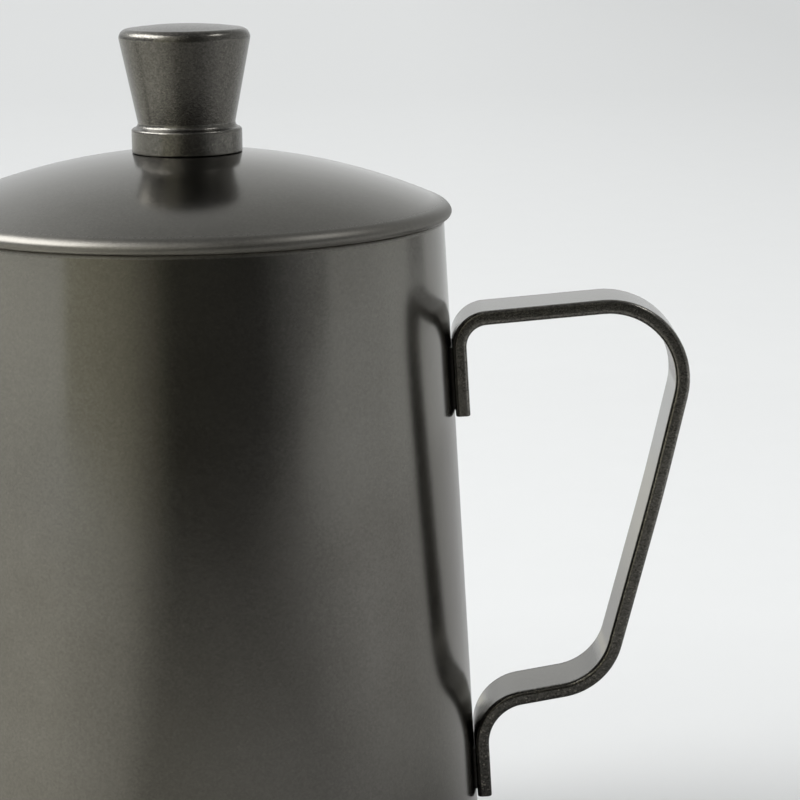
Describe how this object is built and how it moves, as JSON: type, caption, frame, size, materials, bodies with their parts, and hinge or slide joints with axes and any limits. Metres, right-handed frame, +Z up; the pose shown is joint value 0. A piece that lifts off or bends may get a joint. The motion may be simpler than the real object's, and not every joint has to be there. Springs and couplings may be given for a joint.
{
  "type": "coffee kettle",
  "caption": "Small tapered drip-coffee kettle with a gooseneck spout, a bent flat-strap handle and a lift-off domed lid with a flared knob, in a dark coated metal.",
  "frame": {"origin": "middle of the base's underside, on the pot's own axis", "axes": "+Z up along the pot's axis, +X towards the handle, -X towards the spout, +Y square to both"},
  "size_m": [0.1991, 0.0882, 0.1401],
  "materials": {
    "dark_coating": "satin metallic coating, dark warm grey with a fine sparkle",
    "bare_steel": "bare satin steel"
  },
  "bodies": {
    "kettle": {"body_shell": "dark_coating", "base_plate": "dark_coating", "spout_tube": "dark_coating", "handle_strap": "dark_coating"},
    "lid": {"lid_dome": "dark_coating", "lid_skirt": "bare_steel", "lid_knob": "dark_coating", "knob_screw": "bare_steel", "knob_lock_washer": "bare_steel", "knob_flat_washer": "bare_steel"}
  },
  "joints": [
    {"name": "lid_lift", "type": "slide", "parent": "kettle", "child": "lid", "axis": [0, 0, 1], "range_m": [0, 0.06]}
  ]
}
